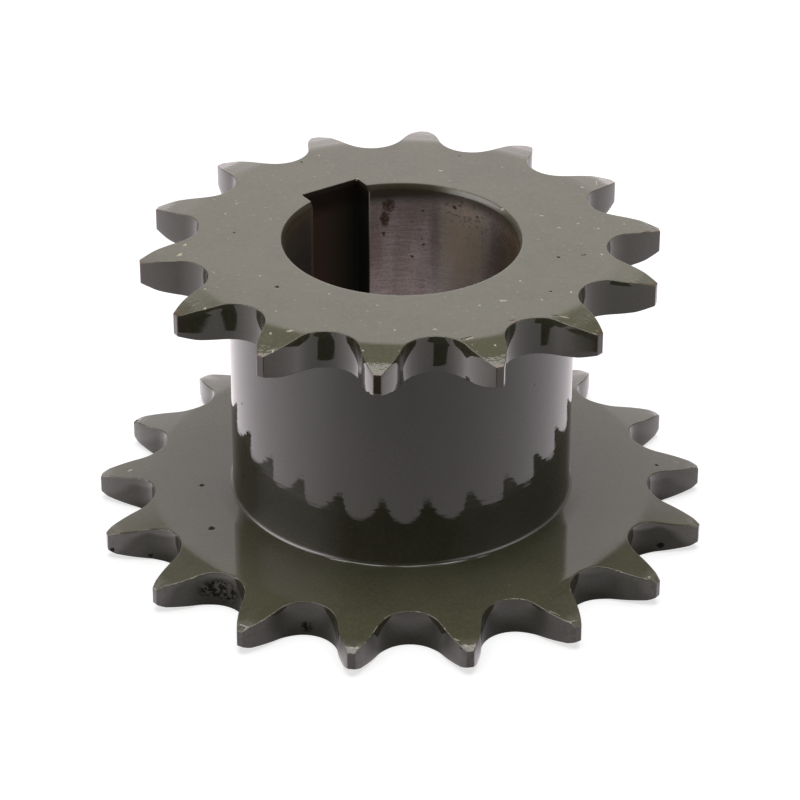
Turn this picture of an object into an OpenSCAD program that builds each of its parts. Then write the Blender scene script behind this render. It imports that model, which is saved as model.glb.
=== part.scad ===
// Double chain sprocket: a 14-tooth and a 17-tooth rim on one plain hub, for two single
// roller chains of the same pitch. All sizes are millimetres. The part stands on its larger
// rim: the origin is the centre of the bottom face on the bore axis, +Z runs up the bore,
// and the keyway and one tooth gap of each rim face +Y.

/* [Chain] */
// distance between chain rollers
pitch = 15.875; // [15.6:0.025:16.1]
// outside diameter of a chain roller
roller_d = 10.16; // [9.9:0.02:10.4]

/* [Teeth] */
// teeth on the upper rim
upper_teeth = 14; // [13:1:16]
// teeth on the lower rim
lower_teeth = 17; // [16:1:20]
// tip circle: pitch times the sum of this number and the cotangent of the half tooth angle
tip_factor = 0.55; // [0.52:0.01:0.58]
// half angle of the roller seat before its share per tooth is taken off, degrees
seat_half_angle = 67.5; // [67:0.5:69]
// radius of the convex flank of an upper tooth
upper_flank_r = 16.5; // [15.5:0.5:20]
// radius of the convex flank of a lower tooth
lower_flank_r = 20; // [18.5:0.5:24]

/* [Rims] */
// thickness of both toothed rims
rim_w = 5.9; // [5.5:0.1:6.3]
// radial reach of the turned relief on both faces of the upper rim, inwards from the tips
upper_relief_reach = 6.4; // [5.6:0.1:7]
// depth of the relief at the tips on the upper face of the upper rim
upper_relief_top = 1.35; // [1.1:0.05:1.5]
// depth of the relief at the tips on the lower face of the upper rim
upper_relief_low = 1.2; // [1.1:0.05:1.5]
// radial reach of the relief on the upper face of the lower rim
lower_reach_top = 8.2; // [7:0.1:8.8]
// radial reach of the relief on the lower face of the lower rim
lower_reach_low = 7.2; // [6.5:0.1:8.8]
// depth of the relief at the tips on the upper face of the lower rim
lower_relief_top = 1.95; // [1.6:0.05:2.2]
// depth of the relief at the tips on the lower face of the lower rim
lower_relief_low = 1.3; // [1.1:0.05:1.6]
// radial width of the steeper break next to the upper tips
upper_break_w = 2.4; // [0.8:0.1:2.6]
// angle of that break from the rim face, degrees
upper_break_angle = 17; // [14:1:20]
// radial width of the steeper break next to the lower tips
lower_break_w = 1; // [0.6:0.1:1.6]
// angle of that break from the rim face, degrees
lower_break_angle = 28; // [20:1:32]

/* [Hub] */
// height over both rims
total_h = 47.3; // [44:0.1:60]
// outside diameter of the hub between the rims
hub_d = 52; // [50:0.5:53]
// radius of the turned corner where the hub meets each rim
foot_r = 0.5; // [0.3:0.1:1.2]

/* [Bore] */
// bore diameter
bore_d = 35; // [32:0.5:36]
// radial width of the chamfer at both bore edges
bore_edge_w = 0.5; // [0.3:0.05:0.8]
// axial height of that chamfer
bore_edge_h = 0.75; // [0.3:0.05:1]
// width of the keyway
key_w = 10; // [8:0.5:10]
// depth of the keyway from the crown of the bore
key_depth = 2.5; // [2:0.1:3.3]

/* [Hidden] */
$fn = 96;
seat_r = 0.505 * roller_d;
hub_r = hub_d / 2;
bore_r = bore_d / 2;
upper_z = total_h - rim_w;
key_floor = bore_r + key_depth;
over = 1;

function pitch_r(teeth) = pitch / sin(180 / teeth) / 2;
function tip_r(teeth) = pitch * (tip_factor + 1 / tan(180 / teeth)) / 2;
function seat_angle(teeth) = seat_half_angle - 45 / teeth;

// one side of a rim, from the flat face out to the tooth tips: a shallow turned cone, then
// the steeper break. up is 1 for an upper face and -1 for a lower one
function relief(teeth, face, up, reach, depth, width, angle) = let (tip = tip_r(teeth))
    [[tip - reach, face],
     [tip - width, face - up * (depth - width * tan(angle))],
     [tip, face - up * depth]];

// the same points from the tip inwards
function back(points) = [for (i = [len(points) - 1:-1:0]) points[i]];

// half section of the turned blank, radius along X and height along Y
module blank_section() {
    polygon(concat(
        [[bore_r, bore_edge_h], [bore_r + bore_edge_w, 0]],
        relief(lower_teeth, 0, -1, lower_reach_low, lower_relief_low, lower_break_w,
            lower_break_angle),
        back(relief(lower_teeth, rim_w, 1, lower_reach_top, lower_relief_top,
            lower_break_w, lower_break_angle)),
        [[hub_r, rim_w], [hub_r, upper_z]],
        relief(upper_teeth, upper_z, -1, upper_relief_reach, upper_relief_low,
            upper_break_w, upper_break_angle),
        back(relief(upper_teeth, total_h, 1, upper_relief_reach, upper_relief_top,
            upper_break_w, upper_break_angle)),
        [[bore_r + bore_edge_w, total_h], [bore_r, total_h - bore_edge_h]]));
    foot_corner(rim_w, 1);
    foot_corner(upper_z, -1);
}

// concave turned corner between the hub and the face of a rim
module foot_corner(face, up) {
    translate([hub_r, face]) mirror([0, up < 0 ? 1 : 0]) difference() {
        translate([-over, -over]) square(foot_r + over);
        translate([foot_r, foot_r]) circle(r = foot_r);
    }
}

// space for one roller, opening along +X: a round seat on the pitch circle, running
// tangent into two convex flanks that reach past the tip circle
module tooth_space(teeth, flank_r) {
    centre = pitch_r(teeth);
    half = seat_angle(teeth);
    far = tip_r(teeth) + over;
    edge = 180 / teeth - 0.15;
    translate([centre, 0]) circle(r = seat_r);
    difference() {
        polygon([[centre, 0],
            [centre - seat_r * cos(half), -seat_r * sin(half)],
            [far * cos(edge), -far * sin(edge)],
            [far + over, 0],
            [far * cos(edge), far * sin(edge)],
            [centre - seat_r * cos(half), seat_r * sin(half)]]);
        for (side = [-1, 1])
            translate([centre - (seat_r + flank_r) * cos(half),
                side * (seat_r + flank_r) * sin(half)]) circle(r = flank_r);
    }
}

// all the roller spaces of one rim, with one of them centred on +Y
module tooth_spaces(teeth, flank_r, base) {
    for (i = [0:teeth - 1])
        rotate([0, 0, 90 + i * 360 / teeth]) translate([0, 0, base - over])
            linear_extrude(height = rim_w + 2 * over) tooth_space(teeth, flank_r);
}

// keyway cut through the whole length of the bore
module keyway() {
    translate([-key_w / 2, 0, -over]) cube([key_w, key_floor, total_h + 2 * over]);
}

module double_sprocket() {
    color([0.3, 0.3, 0.24]) difference() {
        rotate_extrude() blank_section();
        tooth_spaces(lower_teeth, lower_flank_r, 0);
        tooth_spaces(upper_teeth, upper_flank_r, upper_z);
        keyway();
    }
}

double_sprocket();
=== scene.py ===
import bpy
import numpy as np
from functools import partial
from math import acos, atan2, cos, hypot, pi, radians, sin, tan
from mathutils import Matrix, Vector


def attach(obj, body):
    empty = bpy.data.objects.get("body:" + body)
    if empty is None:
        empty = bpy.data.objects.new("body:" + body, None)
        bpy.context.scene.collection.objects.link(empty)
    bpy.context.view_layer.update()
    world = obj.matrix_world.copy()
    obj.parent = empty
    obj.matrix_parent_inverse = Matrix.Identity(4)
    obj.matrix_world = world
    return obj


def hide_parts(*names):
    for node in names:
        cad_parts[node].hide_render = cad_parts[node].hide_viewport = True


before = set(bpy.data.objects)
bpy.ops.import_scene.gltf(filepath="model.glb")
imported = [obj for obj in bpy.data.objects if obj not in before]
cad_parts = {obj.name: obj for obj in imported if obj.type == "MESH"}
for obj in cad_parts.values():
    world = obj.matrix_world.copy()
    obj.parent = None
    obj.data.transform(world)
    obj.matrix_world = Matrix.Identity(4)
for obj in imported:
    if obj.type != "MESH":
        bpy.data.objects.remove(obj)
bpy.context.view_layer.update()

# Sizes of the turned and cut blank, millimetres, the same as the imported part's
blank = {
    "height": 47.3,
    "hubRadius": 26.0,
    "footRadius": 0.6,      # the turned corner is 0.5, and the enamel pools in it
    "boreRadius": 17.5,
    # rounded chamfer of the bore: radius, how much wider the keyway is, depth under the face
    "chamfer": [(17.5, 0.0, 0.85), (17.52, 0.0, 0.72), (17.92, 0.0, 0.12),
                (17.98, 0.01, 0.035), (18.03, 0.03, 0.008), (18.1, 0.06, 0.0)],
    "mouthReach": 22.5,     # the rings follow the mouth of the bore up to here
    "keyHalfWide": 5.0,
    "keyFloor": 20.0,
    "hubMargin": 0.5,       # the hub's own rings keep this far from its two feet
    "edgeRings": 5,         # rings down each rounded tooth edge
    "fanGap": 0.7,          # lines stand as on the teeth from this far inside them outwards
    "lines": 952,           # lines round the axis: 68 for each of 14 teeth, 56 for each of 17
}
# seatFactor is the seat's radius as a share of the roller's diameter
chain = {
    "pitch": 15.875, "roller": 10.16, "seatFactor": 0.505, "tipFactor": 0.55, "seatHalf": 67.5,
}
upperRim = {
    "teeth": 14, "flank": 16.5, "corner": 0.2, "low": 41.4, "high": 47.3,
    "steps": (10, 13, 5, 6),    # points on seat, flank, corner, tip land
    "topRelief": (6.4, 1.35), "lowRelief": (6.4, 1.2),
    "breakWide": 2.4, "breakAngle": 17.0,
    "edgeSoft": 0.11,           # radius that the enamel rounds the tooth edges to
    "kneeSoft": (0.9, 0.45),    # half width of the turned knee and of the break's edge
}
lowerRim = {
    "teeth": 17, "flank": 20.0, "corner": 0.22, "low": 0.0, "high": 5.9,
    "steps": (9, 10, 4, 5),
    "topRelief": (8.2, 1.95), "lowRelief": (7.2, 1.3),
    "breakWide": 1.0, "breakAngle": 28.0,
    "edgeSoft": 0.15, "kneeSoft": (0.5, 0.16),
}
lineCount = blank["lines"]
evenAngle = pi / 2 + np.arange(lineCount) * 2 * pi / lineCount


def tipRadius(rim):
    return chain["pitch"] * (chain["tipFactor"] + 1 / tan(pi / rim["teeth"])) / 2


# Outline of a rim. Half a roller space is four arcs that run into each other on tangents:
# the seat about the pitch circle, the convex flank, a small corner, and the tip land on the
# tip circle. The half is mirrored at the middle of the tooth and turned round the axis
def toothOutline(rim):
    teeth, flankR, corner = rim["teeth"], rim["flank"], rim["corner"]
    pitchR = chain["pitch"] / 2 / sin(pi / teeth)
    seatR = chain["seatFactor"] * chain["roller"]
    tipR = tipRadius(rim)
    half = radians(chain["seatHalf"] - 45 / teeth)
    flankX = pitchR - (seatR + flankR) * cos(half)
    flankY = (seatR + flankR) * sin(half)
    away = hypot(flankX, flankY)
    inFlank, inTip = flankR - corner, tipR - corner
    spread = acos((away ** 2 + inTip ** 2 - inFlank ** 2) / (2 * away * inTip))
    cornerAngle = atan2(flankY, flankX) - spread
    cornerX, cornerY = inTip * cos(cornerAngle), inTip * sin(cornerAngle)
    flankEnd = atan2(cornerY - flankY, cornerX - flankX)

    seat = np.linspace(0, half, rim["steps"][0] + 1)
    flank = np.linspace(-half, flankEnd, rim["steps"][1] + 1)[1:]
    bend = np.linspace(flankEnd, cornerAngle, rim["steps"][2] + 1)[1:]
    land = np.linspace(cornerAngle, pi / teeth, rim["steps"][3] + 1)[1:]
    x = np.concatenate([pitchR - seatR * np.cos(seat), flankX + flankR * np.cos(flank),
                        cornerX + corner * np.cos(bend), tipR * np.cos(land)])
    y = np.concatenate([seatR * np.sin(seat), flankY + flankR * np.sin(flank),
                        cornerY + corner * np.sin(bend), tipR * np.sin(land)])
    outX = np.concatenate([np.cos(seat), np.cos(flank), np.cos(bend), np.cos(land)])
    outY = np.concatenate([-np.sin(seat), np.sin(flank), np.sin(bend), np.sin(land)])

    turn = 2 * pi / teeth
    mirror = slice(-2, 0, -1)
    halfPoint, halfOut = x + 1j * y, outX + 1j * outY
    point = np.concatenate([halfPoint, np.conj(halfPoint[mirror]) * np.exp(1j * turn)])
    out = np.concatenate([halfOut, np.conj(halfOut[mirror]) * np.exp(1j * turn)])
    spin = 1j * np.exp(1j * turn * np.arange(teeth))[:, None]
    return (spin * point).ravel(), (spin * out).ravel()


# Outline of the bore with its keyway, at a given radius: the floor and the two walls of the
# keyway are straight, each mouth corner is a short curve between two points and the corner,
# and the rest is the circle. grow widens the keyway
def boreOutline(radius, grow=0.0, soft=0.28):
    wide, floor = blank["keyHalfWide"] + grow, blank["keyFloor"] + grow
    mouth = complex(wide, (radius ** 2 - wide ** 2) ** 0.5)
    wallStart, wallEnd = complex(wide, floor), mouth + 1j * soft
    circleStart = radius * np.exp(1j * (np.angle(mouth) - soft / radius))
    t = np.linspace(0, 1, 5)[:, None]
    curve = ((1 - t) ** 2 * wallEnd + 2 * t * (1 - t) * mouth + t ** 2 * circleStart).ravel()
    right = np.concatenate([np.linspace(0, wide, 38) + 1j * floor,
                            np.linspace(wallStart, wallEnd, 6)[1:], curve[1:]])
    rest = lineCount - 2 * (len(right) - 1)
    firstAngle = np.angle(right[-1])
    circle = radius * np.exp(1j * np.linspace(firstAngle, pi - firstAngle - 2 * pi, rest + 1))
    clockwise = np.concatenate([right, circle[1:-1], -np.conj(right[:0:-1])])
    return np.roll(clockwise[::-1], 1)


# Zero, then a slope of one, with a parabola of half width w between them: (d + w)^2 / 4w
def softRamp(d, w):
    return np.where(np.abs(d) < w, (d + w) ** 2 / (4 * w), np.maximum(d, 0))


# Height of a rim's face at a radius: flat, then the turned relief cone, then the steeper
# break next to the tips. side is 1 for the upper face and -1 for the lower one
def faceHeight(rim, side, radius):
    reach, depth = rim["topRelief"] if side > 0 else rim["lowRelief"]
    knee, edge = tipRadius(rim) - reach, tipRadius(rim) - rim["breakWide"]
    steep = tan(radians(rim["breakAngle"]))
    shallow = (depth - rim["breakWide"] * steep) / (edge - knee)
    wideKnee, wideEdge = rim["kneeSoft"]
    drop = (shallow * softRamp(radius - knee, wideKnee)
            + (steep - shallow) * softRamp(radius - edge, wideEdge))
    return (rim["high"] if side > 0 else rim["low"]) - side * drop


# Rings of one face of a rim, from the hub or bore out to the tooth walls. A ring is a circle
# that stops a small gap short of the outline, so it bends round the teeth it can't cross. The
# edgeRings go down a quarter round: set in by s from the outline, they drop by
# e - sqrt(e^2 - (e - s)^2), where e is the edge radius
def faceRings(rim, side, startAngle, circles):
    outline, out = rim["outline"]
    soft = rim["edgeSoft"]
    edge = outline - soft * out
    edgeR, edgeAngle = np.abs(edge), np.angle(edge)
    edgeAngle = startAngle + (edgeAngle - startAngle + pi) % (2 * pi) - pi
    first, last = circles[0][0], edgeR.min() - blank["fanGap"]
    rings = []
    for radius, gap in circles:
        r = np.minimum(radius, edgeR - gap)
        share = np.clip((r - first) / (last - first), 0, 1)
        angle = startAngle + (edgeAngle - startAngle) * share ** 2 * (3 - 2 * share)
        rings.append((r * np.cos(angle), r * np.sin(angle), faceHeight(rim, side, r)))
    for s in soft * (1 - np.sin(np.linspace(0, pi / 2, blank["edgeRings"]))):
        p = outline - s * out
        drop = soft - (soft ** 2 - (soft - s) ** 2) ** 0.5
        rings.append((p.real, p.imag, faceHeight(rim, side, np.abs(p)) - side * drop))
    return rings


# Rings down a tooth wall, evenly between the rounded edges above and below
def wallRings(rim, count):
    point = rim["outline"][0]
    top = faceHeight(rim, 1, np.abs(point)) - rim["edgeSoft"]
    low = faceHeight(rim, -1, np.abs(point)) + rim["edgeSoft"]
    shares = np.linspace(0, 1, count + 2)[1:-1]
    return [(point.real, point.imag, top + (low - top) * share) for share in shares]


# A level ring of one radius, or of a radius for each line
def levelRing(radius, height, angle=evenAngle):
    return radius * np.cos(angle), radius * np.sin(angle), height + 0 * angle


# Quarter round in the inner corner between hub and rim face, a circle of footRadius that
# touches both; side is 1 above the face and -1 below it
def footRings(height, side):
    rings = []
    for a in np.linspace(0, pi / 2, 6):
        r = blank["hubRadius"] + blank["footRadius"] * (1 - cos(a))
        z = height + side * blank["footRadius"] * (1 - sin(a))
        rings.append(levelRing(r, z))
    return rings


def boreRing(radius, grow, height):
    line = boreOutline(radius, grow)
    return line.real, line.imag, height + 0 * line.real


# The whole sprocket is one closed half section carried round the axis: each ring has one
# point on each line, and the rings run over the top face, down the hub, over the lower rim
# and back up through the bore
for rim in (upperRim, lowerRim):
    rim["outline"] = toothOutline(rim)
high = blank["height"]
topTip, lowTip = tipRadius(upperRim), tipRadius(lowerRim)
chamfer = blank["chamfer"]
mouthLine = boreOutline(*chamfer[-1][:2])
mouthAngle = evenAngle + (np.angle(mouthLine) - evenAngle + pi) % (2 * pi) - pi


# Level rings from the mouth of the bore with its keyway out to a circle
def mouthRings(shares, height):
    start, end = np.abs(mouthLine), blank["mouthReach"]
    return [levelRing(start + (end - start) * share, height, mouthAngle) for share in shares]


upperKnee, upperBreak = topTip - upperRim["topRelief"][0], topTip - upperRim["breakWide"]
lowerKnee, lowerBreak = lowTip - lowerRim["topRelief"][0], lowTip - lowerRim["breakWide"]
upperSoft, upperEdge = upperRim["kneeSoft"]
lowerSoft, lowerEdge = lowerRim["kneeSoft"]
rings = [boreRing(r, grow, high - down) for r, grow, down in chamfer]
rings += mouthRings((0.1, 0.4, 0.7), high)
edgeStarts = []             # first ring of each rounded tooth edge
rings += faceRings(upperRim, 1, mouthAngle, [
    (blank["mouthReach"], 3), (25, 2.3), (27.4, 1.7), (29.2, 1.2),
    (upperKnee - upperSoft, 1.02), (upperKnee - upperSoft / 2, 0.9), (upperKnee, 0.78),
    (upperKnee + upperSoft / 2, 0.66), (upperKnee + upperSoft, 0.55), (35.4, 0.46),
    (upperBreak - upperEdge, 0.38), (upperBreak - upperEdge / 3, 0.31),
    (upperBreak + upperEdge / 3, 0.25), (upperBreak + upperEdge, 0.18), (38.2, 0.12)])
edgeStarts.append(len(rings) - blank["edgeRings"])
rings += wallRings(upperRim, 3)
edgeStarts.append(len(rings))
rings += faceRings(upperRim, -1, evenAngle, [
    (27.0, 2), (28.6, 1.5), (29.6, 1.0), (upperKnee, 0.7), (upperBreak, 0.4)])[::-1]
rings += footRings(upperRim["low"], -1)[::-1][1:]
hubEnds = upperRim["low"] - blank["hubMargin"], lowerRim["high"] + blank["hubMargin"]
for height in np.linspace(*hubEnds, 9)[1:-1]:
    rings.append(levelRing(blank["hubRadius"], height))
rings += footRings(lowerRim["high"], 1)
rings += faceRings(lowerRim, 1, evenAngle, [
    (27.0, 5), (29, 4.2), (31.5, 3.4), (34, 2.6), (36, 1.9), (37, 1.4),
    (lowerKnee - lowerSoft, 1.1), (lowerKnee, 0.94), (lowerKnee + lowerSoft, 0.79),
    (42, 0.65), (lowerBreak - lowerEdge, 0.52), (lowerBreak, 0.4),
    (lowerBreak + lowerEdge, 0.28), (46.3, 0.16)])[1:]
edgeStarts.append(len(rings) - blank["edgeRings"])
rings += wallRings(lowerRim, 3)
edgeStarts.append(len(rings))
rings += faceRings(lowerRim, -1, mouthAngle, [
    (blank["mouthReach"], 5), (28, 3.5), (33, 2.4), (36.8, 1.5),
    (lowTip - lowerRim["lowRelief"][0], 1.1), (lowerBreak, 0.6)])[::-1]
rings += mouthRings((0.5, 0.15), 0)
rings += [boreRing(r, grow, down) for r, grow, down in chamfer[::-1]]
firstBare = len(rings) - 1          # the faces from here on are bare steel
bevel = chamfer[0][2]
for height in np.linspace(bevel, high - bevel, 7)[1:-1]:
    rings.append(boreRing(blank["boreRadius"], 0.0, height))
ringCount = len(rings)
points = np.array(rings).transpose(0, 2, 1)         # ring, line, xyz in millimetres
print("rings", ringCount, "lines", lineCount, "triangles", 2 * ringCount * lineCount)


# One closed grid of quads: each point with the next on its ring and the two on the next ring
def gridMesh(name, p):
    rows, columns = p.shape[:2]
    index = np.arange(rows * columns).reshape(rows, columns)
    right = np.roll(index, -1, axis=1)
    quads = np.stack([index, right, np.roll(right, -1, axis=0), np.roll(index, -1, axis=0)], -1)
    mesh = bpy.data.meshes.new(name)
    mesh.from_pydata((p.reshape(-1, 3) / 1000).tolist(), [], quads.reshape(-1, 4).tolist())
    mesh.polygons.foreach_set("use_smooth", np.ones(rows * columns, bool))
    mesh.update()
    piece = bpy.data.objects.new(name, mesh)
    bpy.context.scene.collection.objects.link(piece)
    return piece


# Six times the signed volume of the closed grid; negative where the faces point inwards
def signedVolume(p):
    a, b = p, np.roll(p, -1, axis=1)
    c, d = np.roll(b, -1, axis=0), np.roll(p, -1, axis=0)
    one = np.einsum("ijk,ijk->", a, np.cross(b, c))
    two = np.einsum("ijk,ijk->", a, np.cross(c, d))
    return one + two


if signedVolume(points) < 0:
    points = points[:, ::-1]
print("volume", round(signedVolume(points) / 6), "cubic millimetres")
sprocket = gridMesh("enamelled_sprocket", points)
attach(sprocket, "root")
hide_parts("double_sprocket")


# sRGB hex to linear colour
def colour(text):
    value = np.array([int(text[i:i + 2], 16) / 255 for i in (1, 3, 5)])
    linear = np.where(value <= 0.04045, value / 12.92, ((value + 0.055) / 1.055) ** 2.4)
    return (*linear.tolist(), 1.0)


# The nodes in use by short names: type, settings, inputs in order, and the output that is
# handed on, or None for the node itself
nodeTable = {
    "plus": ("Math", {"operation": "ADD"}, (0, 1), 0),
    "minus": ("Math", {"operation": "SUBTRACT"}, (0, 1), 0),
    "times": ("Math", {"operation": "MULTIPLY"}, (0, 1), 0),
    "timesPlus": ("Math", {"operation": "MULTIPLY_ADD"}, (0, 1, 2), 0),
    "larger": ("Math", {"operation": "MAXIMUM"}, (0, 1), 0),
    "smaller": ("Math", {"operation": "MINIMUM"}, (0, 1), 0),
    "angle": ("Math", {"operation": "ARCTAN2"}, (0, 1), 0),
    "ease": ("MapRange", {"interpolation_type": "SMOOTHSTEP"},
             ("Value", "From Min", "From Max", "To Min", "To Max"), 0),
    "mix": ("Mix", {"data_type": "FLOAT"}, (0, 2, 3), 0),
    "mixColour": ("Mix", {"data_type": "RGBA"}, (0, 6, 7), 2),
    "ramp": ("ValToRGB", {}, ("Fac",), "Color"),
    "steps": ("ValToRGB", {}, ("Fac",), None),
    "place": ("TexCoord", {}, (), "Object"),
    "way": ("TexCoord", {}, (), "Generated"),
    "normal": ("NewGeometry", {}, (), "Normal"),
    "edgeShare": ("Attribute", {"attribute_name": "edge"}, (), "Fac"),
    "split": ("SeparateXYZ", {}, (0,), None),
    "red": ("SeparateColor", {}, (0,), 0),
    "grey": ("CombineColor", {}, (0, 1, 2), 0),
    "vectorPlus": ("VectorMath", {"operation": "ADD"}, (0, 1), 0),
    "vectorMinus": ("VectorMath", {"operation": "SUBTRACT"}, (0, 1), 0),
    "vectorTimes": ("VectorMath", {"operation": "MULTIPLY"}, (0, 1), 0),
    "vectorTimesPlus": ("VectorMath", {"operation": "MULTIPLY_ADD"}, (0, 1, 2), 0),
    "vectorOver": ("VectorMath", {"operation": "DIVIDE"}, (0, 1), 0),
    "scaled": ("VectorMath", {"operation": "SCALE"}, (0, "Scale"), 0),
    "dot": ("VectorMath", {"operation": "DOT_PRODUCT"}, (0, 1), "Value"),
    "length": ("VectorMath", {"operation": "LENGTH"}, (0,), "Value"),
    "turnAboutZ": ("VectorRotate", {"rotation_type": "Z_AXIS"}, ("Vector", "Angle"), 0),
    "stretch": ("Mapping", {}, ("Vector", "Scale"), 0),
    "noise": ("TexNoise", {}, ("Vector", "Scale", "Detail", "Roughness"), "Fac"),
    "noiseVector": ("TexNoise", {}, ("Vector", "Scale", "Detail"), "Color"),
    "cells": ("TexVoronoi", {"voronoi_dimensions": "2D"}, ("Vector", "Scale"), None),
    "bump": ("Bump", {}, ("Height", "Distance", "Strength"), 0),
    "ray": ("LightPath", {}, (), None),
    "principled": ("BsdfPrincipled", {},
                   ("Base Color", "Roughness", "Specular IOR Level", "Normal"), 0),
    "diffuse": ("BsdfDiffuse", {}, ("Color",), 0),
    "emission": ("Emission", {}, ("Color", "Strength"), 0),
    "background": ("Background", {}, ("Color", "Strength"), 0),
    "mixShader": ("MixShader", {}, (0, 1, 2), 0),
    "addShader": ("AddShader", {}, (0, 1), 0),
    "surface": ("OutputMaterial", {}, ("Surface",), None),
    "surround": ("OutputWorld", {}, ("Surface",), None),
}


# Adds one node of the table. Sockets are linked and values are set, to the table's inputs in
# order and to others by name; stops are the positions and colours of a ramp, and a sum or
# product of more than two values becomes a chain
def addNode(tree, kind, *values, stops=(), **named):
    nodeType, settings, sockets, output = nodeTable[kind]
    if len(values) > len(sockets):
        values = (addNode(tree, kind, *values[:-1]), values[-1])
    node = tree.nodes.new("ShaderNode" + nodeType)
    for name, value in settings.items():
        setattr(node, name, value)
    for socket, value in (*zip(sockets, values), *named.items()):
        if isinstance(value, bpy.types.NodeSocket):
            tree.links.new(value, node.inputs[socket])
        else:
            node.inputs[socket].default_value = value
    if stops:
        node.color_ramp.interpolation = "CONSTANT" if kind == "steps" else "LINEAR"
        marked = node.color_ramp.elements
        marked.remove(marked[1])
        for number, (position, value) in enumerate(stops):
            stop = marked[0] if number == 0 else marked.new(position)
            stop.position, stop.color = position, value
    return node if output is None else node.outputs[output]


# A new material and the function that adds nodes to it
def newMaterial(name):
    material = bpy.data.materials.new(name)
    material.use_nodes = True
    material.node_tree.nodes.clear()
    return material, partial(addNode, material.node_tree)


# Gloss enamel brushed over turned steel: an opaque olive binder with a hard, nearly smooth skin
# that mirrors the studio, a little orange peel, and the turning lines of the hub under it
enamel = {
    "base": "#585744", "dull": "#4d4b3c", "mottle": "#63614f",
    "chip": "#c4bca4", "dirt": "#1b1812", "rust": "#5a4032", "nib": "#8d8771",
    "lip": "#31291b",                       # bare, stained chamfer of the bore
    "broached": "#1c1611",                  # walls of the keyway
    "rubbedTop": "#6b5547", "rubbedLow": "#8b857d",
    "roughness": 0.045, "mottleRoughness": 0.09, "lipRoughness": 0.42, "hazeRoughness": 0.22,
    "mattRoughness": 0.55, "ior": 1.5,
    "peel": 0.004, "peelSize": 0.35,        # height in mm and waves per mm
    "turned": 0.011, "turnedSize": 2.0,
    "speckle": 0.045, "speckleSize": 1.8,
    "markDepth": 0.03,
}

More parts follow.
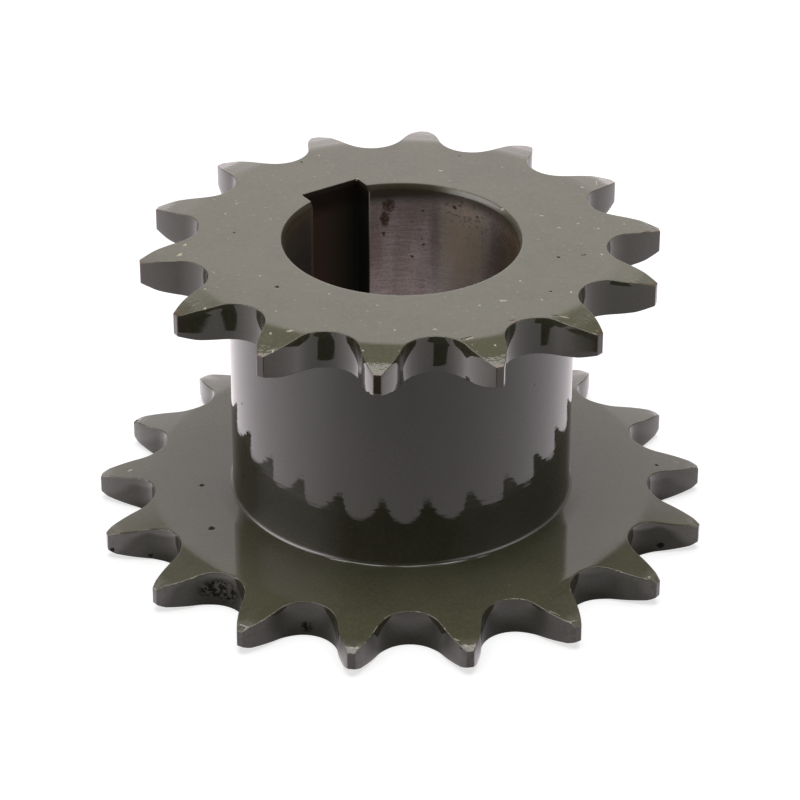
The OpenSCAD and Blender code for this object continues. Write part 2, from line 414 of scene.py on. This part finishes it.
# Marks that the photograph shows, in millimetres: x, y, z of the middle, half length, half
# width, half height and the turn of the length about z in degrees. Long marks on the top face
# lie across the picture, at the azimuth of the camera
pictureTurn = -33.6
marks = {
    "chip": [
        (-18.0, 21.0, 47.3, 0.22, 0.3, 1, 0), (-14.8, 23.0, 47.3, 0.2, 0.3, 1, 0),
        (-13.1, 15.8, 47.3, 0.16, 0.26, 1, 0), (-29.1, 5.9, 47.3, 0.16, 0.24, 1, 0),
        (-24.0, 1.3, 47.3, 0.2, 0.3, 1, 0), (-18.5, -8.9, 47.3, 0.2, 0.3, 1, 0),
        (-14.6, -15.5, 47.3, 0.18, 0.26, 1, 0), (-27.6, -9.1, 47.3, 0.22, 0.32, 1, 0),
        (-31.5, -13.9, 47.3, 0.24, 0.36, 1, 0), (-29.0, -15.1, 47.3, 0.75, 0.24, 1, -20),
        (-32.7, 2.3, 47.3, 0.2, 0.3, 1, 0), (-16.5, -23.1, 47.3, 0.22, 0.28, 1, 0),
        (4.5, 30.1, 47.3, 0.2, 0.32, 1, 0), (-23.3, -25.2, 47.3, 0.18, 0.28, 1, 0),
        (17.3, 15.3, 47.3, 0.5, 0.22, 1, pictureTurn),
        (21.6, -5.6, 47.3, 0.45, 0.2, 1, pictureTurn),
        (24.6, -10.7, 47.3, 0.22, 0.3, 1, 0), (21.4, -10.3, 47.3, 0.5, 0.2, 1, pictureTurn),
        (21.7, -20.6, 47.3, 0.24, 0.3, 1, 0), (11.1, -27.6, 47.3, 0.24, 0.34, 1, 0),
        (-11.6, -26.0, 47.3, 0.4, 0.24, 1, pictureTurn), (-2.3, -23.6, 47.3, 0.22, 0.28, 1, 0),
        (1.4, -24.4, 47.3, 0.8, 0.26, 1, pictureTurn), (6.2, -27.2, 47.3, 0.22, 0.3, 1, 0),
        (30.5, -14.4, 47.2, 0.2, 0.3, 1, 0), (26.2, -13.6, 47.3, 0.2, 0.28, 1, 0),
        (6.9, -20.8, 47.3, 0.22, 0.3, 1, 0), (32.3, -1.2, 47.3, 0.24, 0.34, 1, 0),
        (-30.3, 13.6, 47.2, 0.7, 0.45, 1, 20), (-28.2, 15.7, 47.2, 0.5, 0.35, 1, 20),
        (-33.3, -17.4, 46.4, 0.5, 0.22, 0.3, 25), (-35.4, -2.2, 46.9, 0.3, 0.3, 0.3, 0),
        (5.0, 20.0, 47.2, 0.35, 0.35, 0.4, 0), (35.6, -0.4, 46.85, 1.6, 0.12, 0.5, 54),
        (17.9, -0.5, 47.2, 0.25, 0.5, 0.3, 0), (5.9, -32.9, 47.1, 1.1, 0.14, 0.5, -45),
        (-9.0, -30.9, 47.2, 1.0, 0.16, 0.3, -4), (-6.8, -34.1, 47.0, 0.2, 0.3, 0.5, 0),
        (-1.0, -38.6, 46.0, 0.5, 0.2, 0.25, 0),
        (-25.3, -6.2, 7.9, 0.2, 0.2, 0.2, 0), (-17.5, -19.2, 16.1, 0.16, 0.16, 0.16, 0),
        (-33.8, 25.2, 5.2, 0.6, 0.4, 0.4, 0), (-31.1, -33.9, 4.4, 0.5, 0.3, 0.24, -45),
        (-30.4, -34.4, 4.5, 0.4, 0.4, 0.25, 0), (-17.0, -42.6, 4.5, 0.55, 0.5, 0.28, -22),
        (-16.0, -43.1, 4.4, 0.5, 0.35, 0.2, -22), (-17.4, -40.8, 4.75, 0.8, 0.12, 0.3, -70),
        (-1.8, -43.2, 4.95, 1.5, 0.09, 0.4, -62), (12.4, -39.7, 5.1, 1.5, 0.09, 0.4, -52),
        (15.9, -42.6, 4.6, 0.4, 0.3, 0.3, 20), (-3.8, -34.7, 5.9, 0.2, 0.2, 0.2, 0),
        (39.0, -19.1, 5.0, 0.8, 0.1, 0.4, -28), (20.9, -29.7, 44.0, 0.14, 0.14, 0.2, 0),
    ],
    "dirt": [
        (-23.7, -3.0, 47.3, 0.3, 0.35, 1, 0), (-20.1, 15.0, 47.3, 0.16, 0.22, 1, 0),
        (0.9, 29.6, 47.3, 0.18, 0.26, 1, 0), (15.8, -17.9, 47.3, 0.24, 0.3, 1, 0),
        (8.7, -25.9, 47.3, 0.2, 0.26, 1, 0), (19.3, -19.3, 47.3, 0.4, 0.2, 1, pictureTurn),
        (-29.6, 7.3, 46.3, 0.1, 0.1, 1.1, 0), (5.3, -32.3, 47.1, 0.9, 0.12, 0.5, -45),
        (-9.3, -30.5, 47.25, 1.1, 0.12, 0.3, -4), (-25.6, 4.5, 24.6, 0.18, 0.18, 0.2, 0),
        (-23.2, -11.8, 14.5, 0.14, 0.14, 0.14, 0), (6.7, -25.1, 32.0, 0.16, 0.16, 0.2, 0),
        (-32.5, 2.7, 5.9, 0.5, 0.5, 0.4, 0), (-27.4, 14.1, 5.9, 0.4, 0.4, 0.4, 0),
        (-24.8, 39.3, 4.1, 0.5, 0.5, 0.4, 0), (-40.1, 8.2, 0.8, 0.4, 0.4, 0.3, 0),
        (-44.8, 11.8, 1.5, 0.4, 0.4, 0.4, 0), (35.1, -19.1, 5.6, 0.3, 0.3, 0.3, 0),
        (25.8, -32.6, 1.3, 0.6, 0.6, 0.45, 0), (-17.8, -42.2, 4.1, 0.5, 0.3, 0.14, -22),
    ],
    "rust": [
        (22.6, 17.9, 47.3, 0.25, 0.3, 1, 0), (32.6, -17.5, 46.7, 1.6, 0.14, 0.25, 8),
        (-1.0, -29.9, 47.3, 0.5, 0.25, 0.3, -20), (-38.9, 3.4, 44.0, 0.4, 0.6, 1.6, 0),
    ],
    # dark mottled dirt: middle and reach, broken up by noise
    "mottle": [
        (-38.0, -8.8, 2.8, 3.7, 2.2, 2.2, -45),
        (-31.2, -22.1, 1.5, 1.0, 1.0, 1.0, 0), (-24.6, -19.0, 44.4, 0.4, 0.4, 1.5, 0),
    ],
    # the wall whose enamel dried dull
    "haze": [(7.6, -34.6, 44.2, 2.2, 3.6, 3.0, 0)],
}


# Marks are sorted into families, in which every mark has a sector of the turn for itself: a
# mark with its reach either way must lie past the one before. Each row is sector start, mark
def markFamilies(rows):
    families = []
    for row in sorted(rows, key=lambda row: atan2(row[1], row[0])):
        middle = atan2(row[1], row[0])
        reach = 1.3 * max(row[3], row[4]) / hypot(row[0], row[1]) + radians(0.8)
        fit = [f for f in families if f["end"] < middle - reach and len(f["rows"]) < 32]
        if not fit:
            fit = [{"end": -pi, "rows": []}]
            families.append(fit[0])
        start = (fit[0]["end"] + middle - reach) / 2 if fit[0]["rows"] else -pi
        fit[0]["rows"].append((start, row))
        fit[0]["end"] = middle + reach
    return [family["rows"] for family in families]


# Distance to the nearest mark, in which every mark's outline lies at 1. The angle round the
# axis picks a mark from two stepped ramps: one holds its middle as red, green and blue and its
# turn as alpha, the other its half sizes
markRange = {"place": 100.0, "size": 4.0}       # what 0 to 1 in the ramps stands for, mm


def nearestMark(add, place, rows):
    x, y = add("split", place).outputs[:2]
    share = add("timesPlus", add("angle", y, x), 0.5 / pi, 0.5)
    span, largest = markRange["place"], markRange["size"]
    nearest = None
    for family in markFamilies(rows):
        middles, sizes = [], []
        for start, (*centre, long, wide, tall, degrees) in family:
            position = start / (2 * pi) + 0.5
            middles.append((position, (*[v / span + 0.5 for v in centre], degrees / 360 + 0.5)))
            sizes.append((position, (long / largest, wide / largest, tall / largest, 1)))
        picked = add("steps", share, stops=middles)
        size = add("steps", share, stops=sizes)
        middle = add("vectorTimesPlus", picked.outputs["Color"], (span,) * 3, (-span / 2,) * 3)
        turn = add("timesPlus", picked.outputs["Alpha"], -2 * pi, pi)
        along = add("turnAboutZ", add("vectorMinus", place, middle), turn)
        far = add("times", add("length", add("vectorOver", along, size.outputs["Color"])),
                  1 / largest)
        nearest = far if nearest is None else add("smaller", nearest, far)
    return nearest


# Object coordinates in millimetres, and the distance from the axis
def placeInMm(add):
    place = add("scaled", add("place"), 1000.0)
    return place, add("length", add("vectorTimes", place, (1, 1, 0)))


# A place shifted by noise of a size in waves per mm, up to half of reach either way
def raggedPlace(add, place, size, detail, reach):
    centred = add("vectorMinus", add("noiseVector", place, size, detail), (0.5,) * 3)
    return add("vectorPlus", place, add("scaled", centred, reach))


# How far a direction or place lies to the right in the picture and ahead of the sprocket, and
# its turn from -180 to 180 degrees as 0 to 1. These are fixed directions of the room
def roomAxes(add, way):
    a = radians(pictureTurn)
    right = add("dot", way, (cos(a), sin(a), 0))
    ahead = add("dot", way, (sin(a), -cos(a), 0))
    return right, ahead, add("timesPlus", add("angle", right, ahead), 0.5 / pi, 0.5)


# A colour under layers, each with its share and its own colour
def layered(add, tone, layers):
    for share, layer in layers:
        tone = add("mixColour", share, tone, colour(layer) if isinstance(layer, str) else layer)
    return tone


def makeEnamel():
    material, add = newMaterial("oliveEnamelOnTurnedSteel")
    place, radius = placeInMm(add)
    y, z = add("split", place).outputs[1:]
    right = roomAxes(add, place)[0]
    facing = add("split", add("normal")).outputs["Z"]
    upward = add("ease", facing, 0.8, 0.95)
    hub, bottom = blank["hubRadius"], lowerRim["high"]

    # marks get ragged outlines from a small noise shift of the place
    ragged = raggedPlace(add, place, 2.6, 2.0, 0.5)
    chipped = add("ease", nearestMark(add, ragged, marks["chip"]), 0.9, 0.4)
    dirty = add("ease", nearestMark(add, ragged, marks["dirt"]), 1.3, 0.7)
    rusty = add("ease", nearestMark(add, ragged, marks["rust"]), 1.4, 0.5)
    mottled = add("times", add("ease", nearestMark(add, place, marks["mottle"]), 1.1, 0.6),
                  add("ease", add("noise", place, 1.2, 5.0, 0.72), 0.45, 0.51))

    # dust nibs in the enamel, only where it dried facing up: small cells, some of them filled
    cell = add("cells", ragged, 0.42)
    nib = add("times", add("ease", cell.outputs["Distance"], 0.09, 0.04),
              add("ease", add("red", cell.outputs["Color"]), 0.55, 0.75), upward,
              add("ease", z, 20.0, 30.0, 0.1, 0.4))

    # wear in patches along the tooth edges, strongest on the lower rim
    worn = add("times", add("edgeShare"),
               add("ease", add("noise", place, 1.3, 3.0, 0.65), 0.52, 0.6),
               add("ease", z, 8.0, 6.0, 0.25, 1.0),
               add("ease", add("noise", place, 0.11, 2.0), 0.47, 0.58))
    # the last millimetres of the teeth have rubbed on a chain: brown above, grey below
    onLower = add("ease", z, 9.0, 7.0)
    tips = add("mix", onLower, add("ease", radius, 37.6, 39.1), add("ease", radius, 44.0, 46.4))
    rubbed = add("times", tips,
                 add("ease", add("noise", place, 0.9, 3.0, 0.6), 0.3, 0.6, 0.1, 0.7))

    # the chamfer of the bore is bare and stained, but for its enamelled right half
    lip = add("times", add("ease", radius, 18.1, 18.0), add("ease", right, 7.6, 4.2))
    # the walls of the keyway are in the half with y above 17
    broached = add("times", add("ease", y, 17.0, 17.1), add("ease", facing, 0.85, 0.6),
                   add("ease", radius, 21.0, 20.8))

    # colour: soft clouds in the enamel, a fine mottle, then stains and marks
    fine = add("noise", place, 1.7, 2.0)
    tone = layered(add, colour(enamel["base"]), (
        (add("ease", add("noise", place, 0.16, 3.0), 0.35, 0.7, 0.0, 0.45), enamel["dull"]),
        (add("ease", fine, 0.35, 0.75, 0.0, 0.5), enamel["mottle"]),
        (rubbed, add("mixColour", onLower, colour(enamel["rubbedTop"]),
                     colour(enamel["rubbedLow"]))),
        (add("times", lip, 0.85), enamel["lip"]),
        (broached, enamel["broached"]),
        (nib, enamel["nib"]),
        (add("times", worn, 0.75), enamel["chip"]),
        (add("times", rusty, 0.8), enamel["rust"]),
        (mottled, enamel["dirt"]),
        (dirty, enamel["dirt"]),
        (add("times", chipped, 0.72), enamel["chip"])))

    # chips and dirt have no gloss, and one wall dried dull
    marked = add("larger", chipped, dirty, mottled, rusty)
    hazy = add("ease", nearestMark(add, place, marks["haze"]), 1.2, 0.7)
    gloss = add("mix", add("ease", fine, 0.4, 0.8), enamel["roughness"],
                enamel["mottleRoughness"])
    gloss = add("mix", lip, gloss, enamel["lipRoughness"])
    gloss = add("mix", hazy, gloss, enamel["hazeRoughness"])
    rough = add("mix", add("larger", marked, broached), gloss, enamel["mattRoughness"])

    # dirt and bare places reflect less; at the foot of the hub the reflection is doubled, a
    # painted highlight
    matt = add("larger", mottled, dirty, add("times", add("larger", lip, broached), 0.6))
    footHighlight = add("times", add("ease", z, bottom + 0.02, bottom + 0.07),
               add("ease", z, bottom + 0.7, bottom + 0.55),
               add("ease", radius, hub + 0.7, hub + 0.6))
    mirror = add("mix", footHighlight, add("mix", matt, 0.5, 0.12), 1.0)

    # heights: orange peel everywhere, turning lines on the hub's upright wall, the break of
    # the upper face dried rough, marks sunk and nibs raised a little
    onHub = add("times", add("ease", radius, hub + 0.4, hub + 0.1),
                add("ease", add("times", facing, facing), 0.3, 0.1))
    lines = add("noise", add("stretch", place, (0.012, 0.012, 1.0)), enamel["turnedSize"], 2.0)
    onTop = add("ease", z, 42.0, 44.0, 0.0, enamel["speckle"])
    height = add(
        "plus", add("times", add("noise", place, enamel["peelSize"], 1.0), enamel["peel"]),
        add("times", lines, onHub, enamel["turned"]),
        add("times", add("noise", place, enamel["speckleSize"], 4.0),
            add("ease", radius, 34.0, 36.6), upward, onTop),
        add("times", marked, -enamel["markDepth"]), add("times", nib, enamel["markDepth"]))
    bump = add("bump", height, 0.001, 1.0)
    add("surface", add("principled", tone, rough, mirror, bump, IOR=enamel["ior"]))
    return material


# Bored steel left bare: dull grey with fine tool lines round the bore, oil and rust on it, a
# bright painted highlight over the oil, and a broached keyway that has gone dark
bore = {
    "steel": "#cbc3c2", "worn": "#b3a8a5", "line": "#6c6461", "ridge": "#eee6e4",
    "grain": "#5d5552", "oilSheen": "#f6e6ca", "rust": "#4c3828", "speck": "#2a2318",
    # the colours for the two ends of the bore are dirt and painted shade
    "dirtAndShadeRight": "#86714f", "dirtAndShadeLeft": "#2e2a1e", "dirtAndShadeLow": "#1f1b14", "band": "#5d5450",
    "spray": "#30291a", "sprayLeft": "#463f2b", "scraped": "#6b5a4c",
    # the keyway's top colour is painted shade, and its edge colour is a painted highlight
    "keyway": "#4b3c31", "keywayWall": "#262822", "keywayTopShade": "#17120e", "keyEdgeHighlight": "#b9b3a3",
    "lineDepth": 0.01,                      # mm
}
marks["bore"] = [
    (7.9, 15.6, 43.8, 1.0, 1.0, 1.1, 0), (7.35, 15.9, 41.6, 0.7, 0.7, 1.5, 0),
    (7.2, 15.9, 38.8, 0.35, 0.35, 0.4, 0),
    (12.2, 12.5, 42.9, 0.25, 0.25, 0.3, 0), (12.1, 12.7, 38.0, 0.25, 0.25, 0.3, 0),
    (12.3, 12.5, 37.0, 0.25, 0.25, 0.3, 0), (15.3, 8.5, 44.3, 0.3, 0.3, 0.3, 0),
    (16.9, 4.6, 44.1, 0.3, 0.3, 0.3, 0), (11.0, 13.6, 34.9, 0.3, 0.3, 0.3, 0),
]
# oil on the steel, lightened with a painted highlight
marks["oilSheen"] = [(15.8, 6.6, 39.0, 6.5, 6.5, 13.0, 0)]
marks["band"] = [(13.5, 11.1, 38.1, 1.3, 1.3, 14, 0)]


def makeBareSteel():
    material, add = newMaterial("boredBareSteel")
    place, radius = placeInMm(add)
    x, y, z = add("split", place).outputs
    right = roomAxes(add, place)[0]
    scratches = add("noise", add("stretch", place, (0.1, 0.1, 1.3)), 3.5, 3.0, 0.65)
    grain = add("noise", place, 2.6, 3.0, 0.7)
    clouds = add("noise", add("stretch", place, (1, 1, 0.25)), 0.35, 3.0)
    ragged = raggedPlace(add, place, 1.6, 3.0, 1.3)
    oilSheenShare = add("ease", nearestMark(add, ragged, marks["oilSheen"]), 1.15, 0.0)
    band = add("ease", nearestMark(add, ragged, marks["band"]), 1.0, 0.2)
    spots = add("times", add("ease", nearestMark(add, ragged, marks["bore"]), 1.2, 0.6),
                add("ease", grain, 0.36, 0.46, 0.35, 1.0))
    nearKeyway = add("ease", right, 3.0, -4.0)
    toRight, toLeft = add("ease", right, 12.0, 17.3), add("ease", right, -6.0, -13.5)
    # overspray from the top edge down, thin and uneven, thickest beside the keyway
    sprayed = add("plus", add("ease", z, 42.6, 46.4, 0.0, 1.1), add("times", clouds, -0.4),
                  add("times", add("ease", right, 7.0, 2.0, 0.0, 0.25),
                      add("ease", z, 43.5, 45.5)))
    # fine dark specks below the mouth on the right, and a scraped strip left of the keyway
    specks = add("times", add("ease", add("noise", place, 1.8, 3.0, 0.6), 0.54, 0.64),
                 add("ease", z, 37.0, 46.0), add("ease", right, 2.0, 9.0))
    scraped = add("times", add("ease", x, -5.8, -5.4), toLeft,
                  add("ease", grain, 0.35, 0.6, 0.3, 0.9))
    # dirt and painted shade: the bore darkens towards both ends, and on the left more so lower
    # down
    dirtAndShadeLeft = add("mixColour", add("minus", add("ease", z, 37.0, 43.0, 0.0, 1.6), clouds),
                   colour(bore["dirtAndShadeLow"]), colour(bore["dirtAndShadeLeft"]))

    # the keyway's dark wall reaches round its mouth edge on the right. It darkens towards
    # that wall, and towards the top with painted shade, and a thin line of the edge carries a
    # painted highlight
    inKeyway = add("larger", add("ease", radius, 17.54, 17.66), add(
        "times", add("ease", x, 5.24, 5.12), add("ease", x, 4.7, 4.8), add("ease", y, 16.0, 16.5)))
    shade = layered(add, colour(bore["keyway"]), (
        (add("ease", x, -3.0, 4.9), bore["keywayWall"]),
        # painted shade on the top of the keyway
        (add("ease", z, 42.0, 45.0, 0.0, 0.8), bore["keywayTopShade"]),
        # painted highlight along the mouth edge, brighter towards the top
        (add("times", add("ease", x, 5.04, 5.12), add("ease", z, 34.0, 45.5, 0.15, 1.0)),
         bore["keyEdgeHighlight"])))

    tone = layered(add, colour(bore["steel"]), (
        (add("ease", clouds, 0.35, 0.65), bore["worn"]),
        (add("ease", scratches, 0.4, 0.7, 0.0, 0.35), bore["line"]),
        (add("ease", scratches, 0.44, 0.3, 0.0, 0.35), bore["ridge"]),
        (add("ease", grain, 0.45, 0.75, 0.0, 0.4), bore["grain"]),
        (add("times", oilSheenShare, 0.75), bore["oilSheen"]),
        (add("times", nearKeyway, 0.3), bore["grain"]),
        (add("times", band, 0.35), bore["band"]),
        (add("times", toRight, 0.8), bore["dirtAndShadeRight"]),
        (add("times", toLeft, 0.92), dirtAndShadeLeft),
        (add("times", specks, 0.6), bore["speck"]),
        (add("times", spots, 0.9), bore["rust"]),
        (sprayed, add("mixColour", toLeft, colour(bore["spray"]), colour(bore["sprayLeft"]))),
        (scraped, bore["scraped"]),
        (inKeyway, shade)))

    # spray and dirt cover the metal
    covered = add("larger", sprayed, add("times", inKeyway, 0.9), add("times", toLeft, 0.7))
    metal = add("mix", covered, 1.0, 0.0)
    rough = add("mix", add("ease", grain, 0.3, 0.8), 0.42, 0.56)
    rough = add("mix", covered, rough, 0.55)
    mirror = add("mix", inKeyway, 0.5, 0.1)
    bump = add("bump", add("times", scratches, bore["lineDepth"]), 0.001, 1.0)
    add("surface", add("principled", tone, rough, mirror, bump, Metallic=metal))
    return material


sprocket.data.materials.append(makeEnamel())
sprocket.data.materials.append(makeBareSteel())
slots = np.zeros((ringCount, lineCount), np.int32)
slots[firstBare:] = 1
sprocket.data.polygons.foreach_set("material_index", slots.ravel())
edgeShare = np.zeros((ringCount, lineCount), np.float32)
acrossEdge = np.array([0.0, 0.7, 1.0, 0.7, 0.0])        # one value for each of its rings
for first in edgeStarts:
    edgeShare[first:first + len(acrossEdge)] = acrossEdge[:, None]
edgeLayer = sprocket.data.attributes.new("edge", "FLOAT", "POINT")
edgeLayer.data.foreach_set("value", edgeShare.ravel())
print("sprocket made")

# Camera where the photograph was taken from: it looks down on the keyway side from the front
photoCamera = {"azimuth": pictureTurn, "elevation": 0.5275, "roll": -0.0033, "lens": 157.16,
               "distance": 0.54173, "toRight": -0.000206, "toUp": 0.013169, "lift": 0.00405}


def makeCamera():
    e, roll = photoCamera["elevation"], photoCamera["roll"]
    right, up, back = Vector((1, 0, 0)), Vector((0, sin(e), cos(e))), Vector((0, -cos(e), sin(e)))
    turn = Matrix.Rotation(radians(photoCamera["azimuth"]), 3, "Z")
    place = turn @ (photoCamera["toRight"] * right + photoCamera["toUp"] * up
                    + photoCamera["distance"] * back)
    place.z += photoCamera["lift"]
    across = turn @ (cos(roll) * right - sin(roll) * up)
    upright = turn @ (sin(roll) * right + cos(roll) * up)
    axes = Matrix((across, upright, turn @ back)).transposed()
    data = bpy.data.cameras.new("photoCamera")
    data.lens, data.sensor_width = photoCamera["lens"], 36
    camera = bpy.data.objects.new("photoCamera", data)
    bpy.context.scene.collection.objects.link(camera)
    camera.matrix_world = Matrix.Translation(place) @ axes.to_4x4()
    bpy.context.scene.camera = camera


makeCamera()

# The studio, as the enamel mirrors it: a white backdrop, a bright strip on the left, a weaker
# one on the right, unlit gaps between them, a dark ceiling with a softbox in it, and the unlit
# side where the photographer stands. Brightness is listed by degrees to the right of the camera
studio = {
    "white": "#fff7fb",
    "low": [(-180, 1.7), (-168, 2.1), (-155, 1.5), (-130, 0.3), (-112, 0.4), (-98, 1.7),
            (-68, 2.0), (-50, 1.4), (-38, 0.3), (-28, 0.0), (20, 0.0), (33, 0.9), (48, 1.3),
            (70, 1.6), (90, 0.8), (106, 0.1), (130, 0.2), (148, 0.6), (166, 2.2), (180, 1.7)],
    "middle": [(-180, 1.45), (-158, 1.25), (-140, 0.4), (-118, 0.55), (-100, 3.4), (-82, 4.4),
               (-62, 4.2), (-48, 2.2), (-36, 0.1), (28, 0.0), (44, 1.0), (66, 1.5), (84, 1.1),
               (102, 0.6), (132, 0.5), (150, 0.5), (164, 1.25), (180, 1.45)],
    "high": [(-180, 0.2), (-160, 0.35), (-135, 0.03), (-112, 0.5), (-92, 2.0), (-66, 2.0),
             (-48, 1.1), (-34, 0.0), (138, 0.0), (158, 0.15), (180, 0.2)],
    "brightest": 5.0,                   # level of white in the ramps
    "steps": (11.0, 36.0, 55.0),        # elevation where low, middle and high end, degrees
    "stepWidths": (3.0, 5.0, 4.0),      # half widths of these three steps
    "fill": 0.14,                       # share of the surround that lights dull surfaces
    "softboxHeight": 0.5, "softboxSide": 0.46, "softboxLevel": 4.15,
    "floorSize": 3.0, "floorGap": 2e-5,     # radius and depth under the sprocket, metres
    "floorGrid": (24, 96),              # its rings and its lines
    "floor": [(-180, 1.0), (-150, 1.3), (-130, 1.7), (-100, 1.95), (-70, 2.0), (-50, 1.75),
              (-32, 1.3), (-14, 1.05), (6, 0.98), (30, 1.1), (52, 1.3), (80, 1.5),
              (110, 1.45), (130, 1.25), (150, 0.95), (180, 1.0)],
    # glow of the floor next to the rim, which only the lowest edges mirror, darker or lighter by
    # turn as painted shade and light
    "nearFloor": [(-180, 0.9), (-130, 1.3), (-100, 1.3), (-70, 0.95), (-45, 0.85),
                  (-20, 1.05), (6, 1.2), (30, 1.1), (48, 0.8), (68, 0.45), (90, 1.0),
                  (130, 1.1), (180, 0.9)],
    # unlit table past the front edge of the paper, metres: left side, right side up to and
    # past its second step, front edge and that step
    "table": (-0.055, 0.017, 0.056, 0.095, 0.126),
    "tableLevel": 0.03,                 # what it mirrors and what it throws back
    "between": 0.28, "seatShadow": 0.4,      # painted shadow on the floor's glow, in the gaps of the lower teeth and at their seats
    "boreGlow": 1.2,                      # floor's glow seen through the bore, raised as painted light
    "paper": 0.08,                      # what the paper throws back on the object
}


# Brightness from a list of degrees and levels, through a ramp whose white is the brightest
def levelAround(add, share, rows):
    brightest = studio["brightest"]
    stops = [(degrees / 360 + 0.5, (*[level / brightest] * 3, 1)) for degrees, level in rows]
    return add("times", add("ramp", share, stops=stops), brightest)


def makeWorld():
    world = bpy.data.worlds.new("studio")
    world.use_nodes = True
    world.node_tree.nodes.clear()
    bpy.context.scene.world = world
    add = partial(addNode, world.node_tree)
    way = add("way")
    upward = add("split", way).outputs["Z"]
    share = roomAxes(add, way)[2]
    level = levelAround(add, share, studio["low"])
    above = (levelAround(add, share, studio["middle"]),
             levelAround(add, share, studio["high"]), 0.0)
    for middle, width, higher in zip(studio["steps"], studio["stepWidths"], above):
        step = add("ease", upward, sin(radians(middle - width)), sin(radians(middle + width)))
        level = add("mix", step, level, higher)
    ray = add("ray")
    part = add("mix", ray.outputs["Is Glossy Ray"], studio["fill"], 1.0)
    inRoom = add("background", colour(studio["white"]), add("times", level, part))
    behind = add("background", (1, 1, 1, 1), 1.0)
    add("surround", add("mixShader", ray.outputs["Is Camera Ray"], inRoom, behind))


makeWorld()


# A level square softbox above the sprocket. An area light of power P and area A has the
# brightness P / (pi A)
def makeSoftbox():
    side = studio["softboxSide"]
    data = bpy.data.lights.new("softbox", "AREA")
    data.shape, data.size, data.size_y = "RECTANGLE", side, side
    data.energy = studio["softboxLevel"] * pi * side * side
    lamp = bpy.data.objects.new("softbox", data)
    lamp.location = (0, 0, studio["softboxHeight"])
    lamp.rotation_euler = (0, 0, radians(photoCamera["azimuth"]))
    lamp.visible_camera = False
    bpy.context.scene.collection.objects.link(lamp)


makeSoftbox()


# Pale floor, a flat disc on a grid of radius and angle. Seen by the camera it is white with
# the object's shadow; glossy rays see the paper as a glow, with painted shadow round the lower
# teeth and painted light in the bore, and, past its edge in front, the unlit table
def makeFloor():
    floorRings, floorLines = studio["floorGrid"]
    radius = np.linspace(0, 1, floorRings)[:, None] ** 2 * studio["floorSize"]
    angle = np.linspace(0, 2 * pi, floorLines + 1)[None, :-1]
    low = 0 * radius * angle - studio["floorGap"]
    p = np.stack([radius * np.cos(angle), radius * np.sin(angle), low], -1)
    rows, columns = p.shape[:2]
    index = np.arange(rows * columns).reshape(rows, columns)
    index[1:] -= columns - 1                # the first ring is one point, the middle
    index[0] = 0
    right = np.roll(index, -1, axis=1)
    quads = np.stack([index[1:-1], index[2:], right[2:], right[1:-1]], -1)
    fan = np.stack([index[0], index[1], right[1]], -1)
    mesh = bpy.data.meshes.new("floor")
    faces = quads.reshape(-1, 4).tolist() + fan.tolist()
    mesh.from_pydata([p[0, 0].tolist(), *p[1:].reshape(-1, 3).tolist()], [], faces)
    floor = bpy.data.objects.new("floor", mesh)
    bpy.context.scene.collection.objects.link(floor)

    material, add = newMaterial("paleFloor")
    place = add("place")
    distance = add("length", place)
    right, ahead, share = roomAxes(add, place)
    left, nearRight, farRight, front, step = studio["table"]
    edge = add("ease", ahead, step - 0.001, step + 0.001, nearRight, farRight)
    unlit = add("times", add("ease", ahead, front - 0.002, front + 0.002),
                add("ease", right, left - 0.003, left + 0.003),
                add("ease", add("minus", right, edge), 0.003, -0.003))
    # glow for glossy rays: painted shade and light next to the rim, painted shadow in the gaps and
    # seats of the teeth, painted light in the bore
    level = add("mix", add("ease", distance, 0.0455, 0.0485),
                levelAround(add, share, studio["nearFloor"]),
                levelAround(add, share, studio["floor"]))
    level = add("times", level, add("ease", distance, 0.0395, 0.0445, studio["between"], 1.0),
                add("ease", distance, 0.035, 0.0385, studio["seatShadow"], 1.0))
    level = add("mix", add("ease", distance, 0.0176, 0.02), studio["boreGlow"], level)
    level = add("mix", unlit, level, studio["tableLevel"])
    mirrored = add("emission", colour(studio["white"]), level)
    back = add("mix", unlit, studio["paper"], studio["tableLevel"])
    paper = add("diffuse", add("grey", back, back, back))
    shown = add("addShader", add("diffuse", (0.5, 0.5, 0.5, 1)),
                add("emission", (1, 1, 1, 1), 0.7))
    ray = add("ray")
    seen = add("mixShader", ray.outputs["Is Camera Ray"], paper, shown)
    add("surface", add("mixShader", ray.outputs["Is Glossy Ray"], seen, mirrored))
    mesh.materials.append(material)


makeFloor()
bpy.context.scene.view_settings.view_transform = "Standard"
print("studio made")
